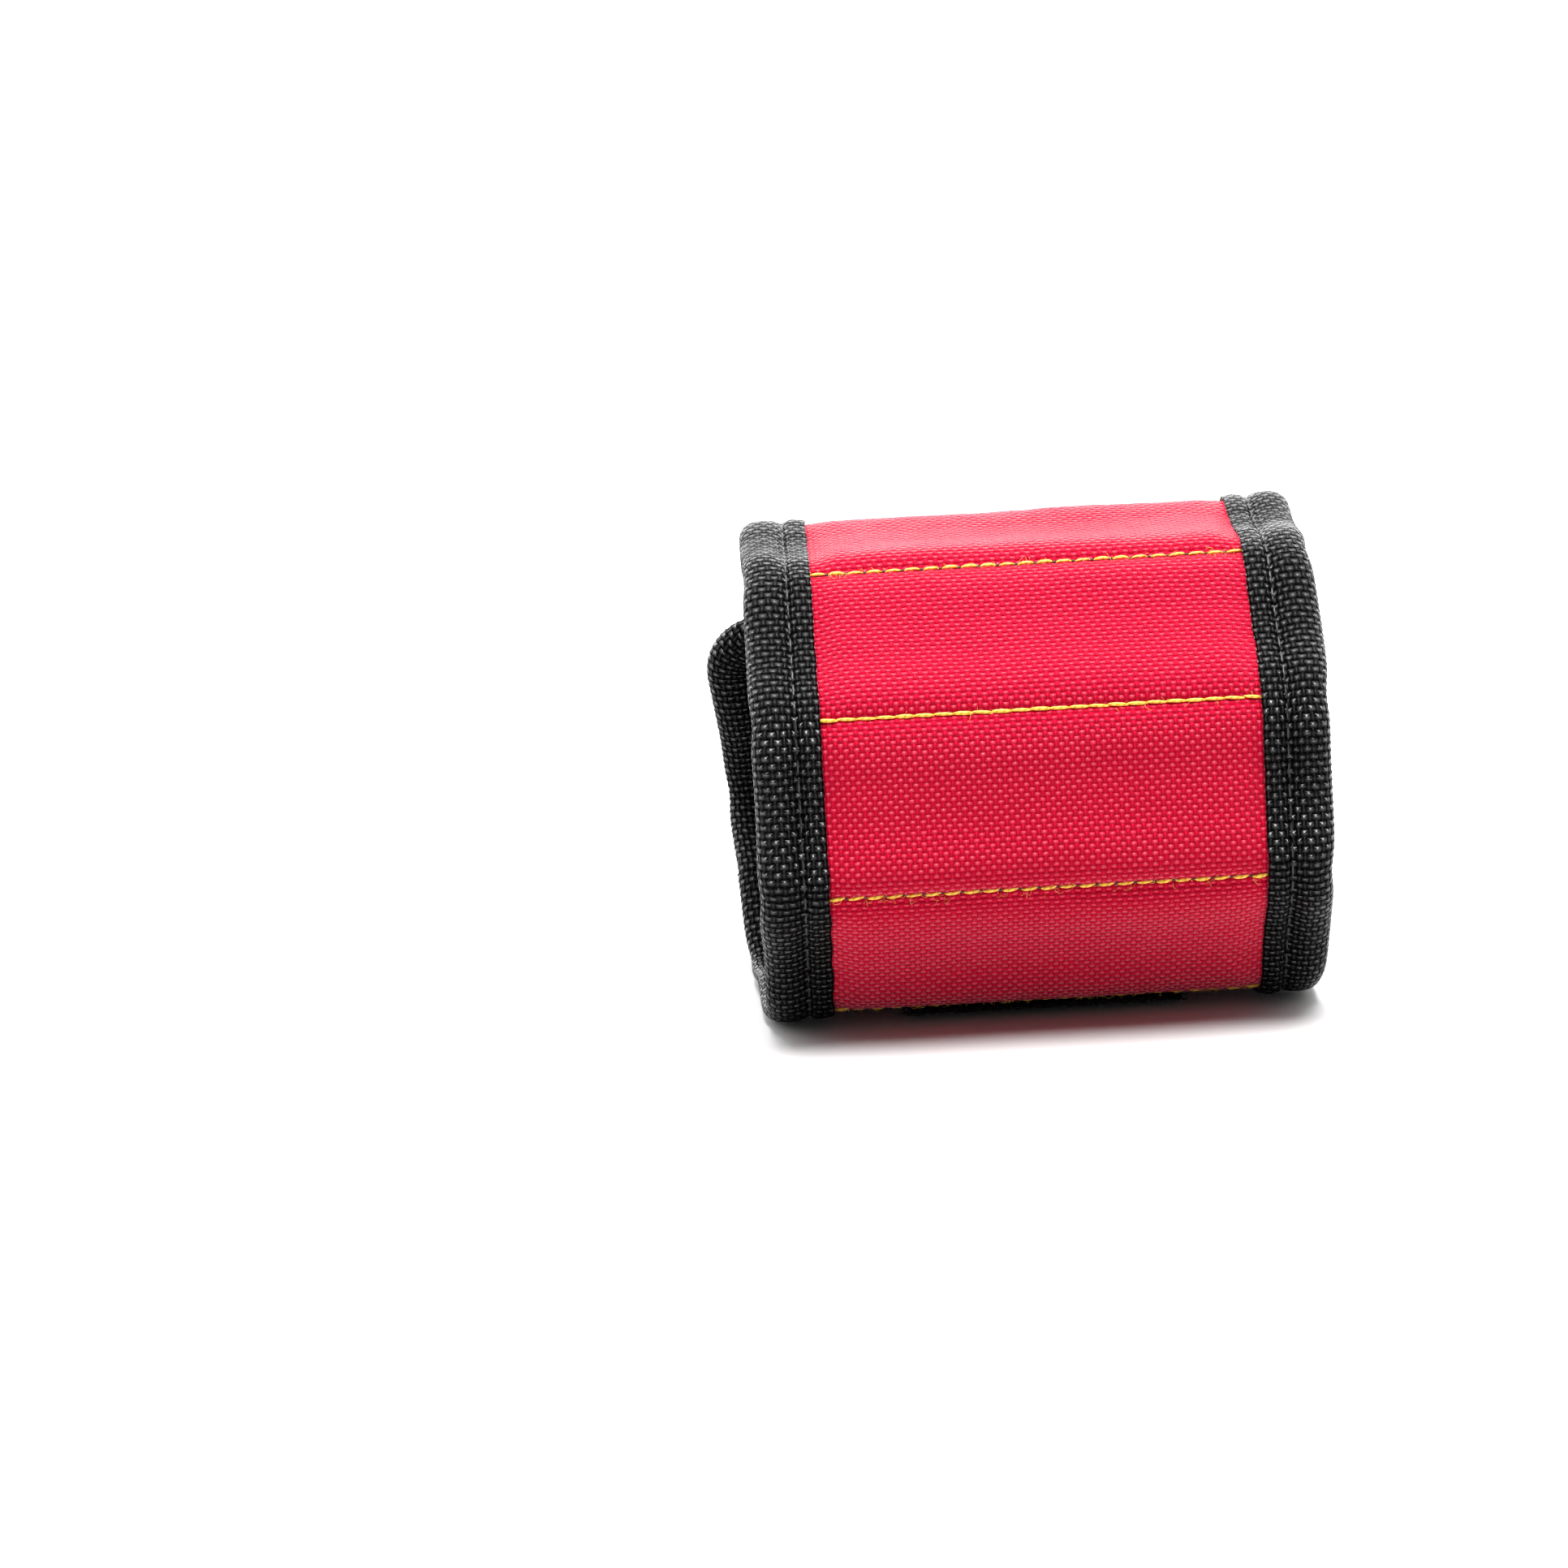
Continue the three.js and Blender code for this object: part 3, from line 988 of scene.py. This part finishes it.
def edge_path():
    """The band's edge as points and inward directions.

    It runs up the left side, round the closure end, down the right side and round the tail's end."""
    rows = rows_between(CORNER_RADIUS, BAND_LENGTH - CORNER_RADIUS, RING_SPACING)
    left = np.stack([np.full_like(rows, -BAND_WIDTH / 2), rows], axis=1)
    right = (left * (-1, 1))[::-1]
    rightward = np.tile([1.0, 0.0], (len(rows), 1))
    closure, closure_inward = round_end(BAND_LENGTH, 1)
    tail, tail_inward = round_end(0, -1)
    points = np.concatenate([left, closure, right, tail[::-1]])
    inward = np.concatenate([rightward, closure_inward, -rightward, tail_inward[::-1]])
    start = row_of(rows, MIDDLES[1])
    points = np.concatenate([points[start:], points[: start + 1]])
    inward = np.concatenate([inward[start:], inward[: start + 1]])
    return points, inward


def travel(points):
    """Distance along a path at each of its points."""
    return np.concatenate([[0], np.cumsum(np.linalg.norm(np.diff(points, axis=0), axis=1))])


def binding_sheet(points, inward):
    """The folded tape along the whole edge, puffed between the seams and ribbed by its cross yarns."""
    travelled = travel(points)
    outer = smooth_curve(TAPE_SECTION, SECTION_STEPS)
    tangent = np.gradient(outer, axis=0)
    tangent /= np.linalg.norm(tangent, axis=1, keepdims=True)
    outward = np.stack([tangent[:, 1], -tangent[:, 0]], axis=1)
    across = travel(outer)
    section_uv = np.concatenate([across, across[::-1]])

    rib = RIB_HEIGHT * (np.abs(np.sin(math.pi * travelled / TAPE_YARNS[1])) - 0.6)
    ribbed = outer + rib[:, None, None] * -outward
    inner = np.broadcast_to(outer - TAPE_THICKNESS * outward, ribbed.shape)
    section = np.concatenate([ribbed, inner[:, ::-1]], axis=1)

    flat = np.zeros_like(travelled)
    near_fold = np.exp(-((np.abs(points[:, 1:] - FOLD_AT[1:-1]).min(axis=1) / PINCH_REACH) ** 2))
    puff = TAPE_PUFF * soft_waves(travelled, flat) - FOLD_PINCH * near_fold
    swell = EDGE_CREASES * soft_waves(travelled, flat + 40) + EDGE_BULGE * (1 - near_fold)
    depth, height = section[..., 0], section[..., 1]
    loose = smoothstep(GROOVE - depth, 0, 2.5)
    height = height + (height - TAPE_MIDDLE) * puff[:, None] * loose
    height = height + TAPE_CREASES * small_waves(travelled, flat)[:, None] * (depth > GROOVE)
    edge_wave = FREE_EDGE_WAVE * small_waves(travelled, flat + 15) + 0.8 * rib
    edge_wave = edge_wave[:, None] * smoothstep(depth, 9, 10.5)
    depth = depth + edge_wave - swell[:, None] * smoothstep(GROOVE - depth, 0, 6)
    place = points[:, None, :] + inward[:, None, :] * depth[..., None]
    place[..., 0] += drift(place[..., 1])
    rings = np.concatenate([place, height[..., None]], axis=-1)
    uv = np.stack([np.broadcast_to(section_uv, height.shape),
                   np.broadcast_to(travelled[:, None], height.shape)], axis=-1)
    return Sheet(rings[:, ::-1], uv[:, ::-1])


def groove_stitches(points, inward, first, last):
    """The tape's own stitches along its groove, on the cover and on the lining."""
    groove = points + inward * GROOVE
    groove[:, 0] += drift(groove[:, 1])
    at = travel(groove)
    number = np.arange(math.ceil(at[first] / STITCH_PITCH), math.ceil(at[last] / STITCH_PITCH))
    stitches = []
    for height, up in ((COVER_STITCH_HEIGHT, UP), (LINING_STITCH_HEIGHT, -UP)):
        for start_at in number * STITCH_PITCH:
            ends = []
            for place in (start_at + TAPE_STITCH_GAP, start_at + STITCH_PITCH - TAPE_STITCH_GAP):
                x, u = (np.interp(place, at, groove[:, axis]) for axis in (0, 1))
                ends.append(np.array([x, u, height]))
            stitches.append(strand(*ends, up, TAPE_THREAD * rng.uniform(0.9, 1.15), 0.36, start_at))
    return stitches


def make_binding():
    points, inward = edge_path()
    sheet = binding_sheet(points, inward)
    left = points[:, 0] < 0
    inner_rows = (points[:, 1] >= MIDDLES[1] - 1e-6) & (points[:, 1] <= MIDDLES[LAST] + 1e-6)

    def index_of(on_left, u_value):
        here = np.flatnonzero((left == on_left) & inner_rows & (np.abs(points[:, 1] - u_value) < 1e-3))
        return int(here[0])

    def add(name, fold, ends, nodes):
        tape = (*sheet.cut(*ends), BINDING_TAPE)
        stitches = bent_part(groove_stitches(points, inward, *ends), BLACK_THREAD)
        make_piece(name, [tape, stitches], fold, nodes)

    for fold in range(1, LAST):
        for side, is_left in (("left", True), ("right", False)):
            ends = sorted(index_of(is_left, MIDDLES[k]) for k in (fold, fold + 1))
            nodes = [f"binding_{side}_{PANELS[k]}" for k in (fold, fold + 1)]
            add(f"binding_{side}_{fold_name(fold)}", fold, ends, nodes)
    closure_ends = (index_of(True, MIDDLES[LAST]), index_of(False, MIDDLES[LAST]))
    tail_ends = (index_of(False, MIDDLES[1]), len(points) - 1)
    for fold, ends, tip, other in ((LAST, closure_ends, -1, -2), (0, tail_ends, 0, 1)):
        sides = [f"binding_{side}_{PANELS[other]}" for side in ("left", "right")]
        add(f"binding_{fold_name(fold)}", fold, ends, [f"binding_{PANELS[tip]}", *sides])


# ---------------------------------------------------------------- hook-and-loop


PILE_DEPTH = 0.35
PILE_LOOPS = 420  # on each piece
PILE_YARN = 0.045
HOOK_SPACING = (1.9, 1.6)
HOOK_HEIGHT = 0.7
HOOK_RADIUS = 0.10


def patch_sheet(start, end, low, high):
    rows = rows_between(start, end)
    half = PATCH_WIDTH / 2
    return rows, strip_sheet(
        rows,
        lambda r: np.full_like(r, half),
        46,
        lambda x, u: np.full_like(x, high) + 0.05 * small_waves(x, u),
        lambda x, u: np.full_like(x, low),
    )


def pile_loops(fold, start, end, height):
    """Loops of yarn that stand out of the loop patch, more of them along its two sides."""
    low, high = max(start, MIDDLES[fold]), min(end, MIDDLES[fold + 1])
    if fold == 0:
        low = start
    half = PATCH_WIDTH / 2
    loops = []
    for i in range(PILE_LOOPS):
        u = rng.uniform(low + 0.5, high - 0.5)
        x = rng.uniform(-half, half) if i % 3 else rng.choice((-half, half)) + rng.normal(0, 0.25)
        root = np.array([x + drift(u), u, height])
        loops.append(stray_fibre(root, rng.uniform(0.5, 1.5), rng.uniform(0.5, 1.0) * PILE_DEPTH, PILE_YARN))
    return loops


def hooks(start, end, height):
    """Rows of small hooks on the hook patch, bent over along the band, this way and that in turn."""
    t = np.linspace(0, 1, FIBRE_RINGS)
    turn = t * 1.5 * math.pi
    profile = np.stack([np.sin(turn) * 0.25 * t, -HOOK_HEIGHT * np.sin(t * 0.72 * math.pi)], axis=1)
    half = PATCH_WIDTH / 2 - 1.2
    across, along = HOOK_SPACING
    placed = []
    for row, u in enumerate(np.arange(start + 1.0, end - 1.0, along)):
        facing = 1 if row % 2 else -1
        for x in np.arange(-half, half, across):
            along_row = u + facing * profile[:, 0]
            points = np.stack([np.full_like(t, x), along_row, height + profile[:, 1]], axis=1)
            placed.append(thin_tube(points + rng.normal(0, 0.03, 3) * (1, 1, 0), HOOK_RADIUS))
    return placed


def make_patches():
    end = TAIL_END - LOOP_END_MARGIN
    top = LOOP_BASE + PATCH_THICKNESS - PILE_DEPTH
    rows, sheet = patch_sheet(LOOP_START, end, LOOP_BASE, top)
    for fold in range(CHANNELS[0]):
        first, last = piece_rows(rows, fold)
        if last <= first:
            continue
        nodes = [f"loop_patch_{PANELS[fold]}", f"loop_patch_{PANELS[fold + 1]}"]
        loops = bent_part(pile_loops(fold, LOOP_START, end, top), BLACK_FIBRE)
        parts = [(*sheet.cut(first, last), LOOP_PILE), loops]
        make_piece(f"loop_patch_{fold_name(fold)}", parts, fold, nodes)

    start, end = FOLD_AT[LAST] + HOOK_START_MARGIN, BAND_LENGTH - HOOK_END_MARGIN
    face = HOOK_BASE - PATCH_THICKNESS + HOOK_HEIGHT
    rows, sheet = patch_sheet(start, end, face, HOOK_BASE)
    for fold in (LAST - 1, LAST):
        first, last = piece_rows(rows, fold)
        if last <= first:
            continue
        nodes = [f"hook_patch_{PANELS[fold]}", f"hook_patch_{PANELS[fold + 1]}"]
        low, high = rows[first], rows[last]
        base = (*sheet.cut(first, last), HOOK_BASE_CLOTH)
        rows_of_hooks = bent_part(hooks(low, high, face), BLACK_THREAD)
        make_piece(f"hook_patch_{fold_name(fold)}", [base, rows_of_hooks], fold, nodes)


# ---------------------------------------------------------------- room, light and camera


def floor_white():
    material = bpy.data.materials.new("floor_white")
    material.use_nodes = True
    shader = material.node_tree.nodes["Principled BSDF"]
    shader.inputs["Base Color"].default_value = FLOOR_GREY
    shader.inputs["Roughness"].default_value = 0.9
    return material


def make_floor(height):
    mesh = bpy.data.meshes.new("floor")
    signs = ((-1, -1), (1, -1), (1, 1), (-1, 1))
    corners = [(x * FLOOR_HALF, y * FLOOR_HALF, height) for x, y in signs]
    mesh.from_pydata(corners, [], [(0, 1, 2, 3)])
    mesh.materials.append(floor_white())
    floor = bpy.data.objects.new("floor", mesh)
    bpy.context.scene.collection.objects.link(floor)


def soft_light(name, comes_from, spread, strength):
    """A far, wide light, so that the floor is as bright in the distance as near by."""
    light = bpy.data.lights.new(name, "SUN")
    light.angle = math.radians(spread)
    light.energy = strength
    lamp = bpy.data.objects.new(name, light)
    lamp.rotation_euler = Vector(comes_from).to_track_quat("Z", "Y").to_euler()
    bpy.context.scene.collection.objects.link(lamp)


def make_light():
    """A wide light overhead in a room that is bright behind the band and darker in front of it."""
    bpy.context.scene.view_settings.view_transform = "Standard"
    world = bpy.data.worlds.new("studio")
    world.use_nodes = True
    tree = world.node_tree
    background = tree.nodes["Background"]
    background.inputs["Color"].default_value = (1, 1, 1, 1)
    place = tree.nodes.new("ShaderNodeTexCoord")
    split = tree.nodes.new("ShaderNodeSeparateXYZ")
    gradient = tree.nodes.new("ShaderNodeMapRange")
    gradient.inputs["From Min"].default_value = ROOM_DARK_UNTIL
    gradient.inputs["To Min"].default_value = ROOM_FRONT
    gradient.inputs["To Max"].default_value = ROOM_BACK
    tree.links.new(place.outputs["Generated"], split.inputs[0])
    tree.links.new(split.outputs["Y"], gradient.inputs["Value"])
    tree.links.new(gradient.outputs["Result"], background.inputs["Strength"])
    bpy.context.scene.world = world
    soft_light("overhead", OVERHEAD_FROM, OVERHEAD_SPREAD, OVERHEAD)


def make_camera():
    low, high = cad_box
    target = Vector((CENTRE_X * MM, 0, (low[2] + high[2]) / 2))
    a, e = math.radians(AZIMUTH), math.radians(ELEVATION)
    back = Vector((math.sin(a) * math.cos(e), -math.cos(a) * math.cos(e), math.sin(e)))
    right = Vector((math.cos(a), math.sin(a), 0))
    up = back.cross(right)
    turn = Matrix((right, up, back)).transposed().to_4x4()
    turn = turn @ Matrix.Rotation(math.radians(CAMERA_ROLL), 4, "Z")
    turn = turn @ Matrix.Rotation(math.radians(AIM_LEFT), 4, "Y")
    turn = turn @ Matrix.Rotation(math.radians(AIM_DOWN), 4, "X")
    data = bpy.data.cameras.new("camera")
    data.lens = LENS
    data.clip_start = 0.01
    camera = bpy.data.objects.new("camera", data)
    camera.matrix_world = Matrix.Translation(target + back * CAMERA_DISTANCE) @ turn
    bpy.context.scene.collection.objects.link(camera)
    bpy.context.scene.camera = camera


make_camera()
make_cover()
make_lining()
make_binding()
make_seams()
make_patches()
for node, piece in frame["nodes"].items():
    if node.startswith("magnet"):
        piece.data.materials.clear()
        piece.data.materials.append(NICKEL)

make_light()
visual_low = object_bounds()[0]
make_floor(visual_low[2])
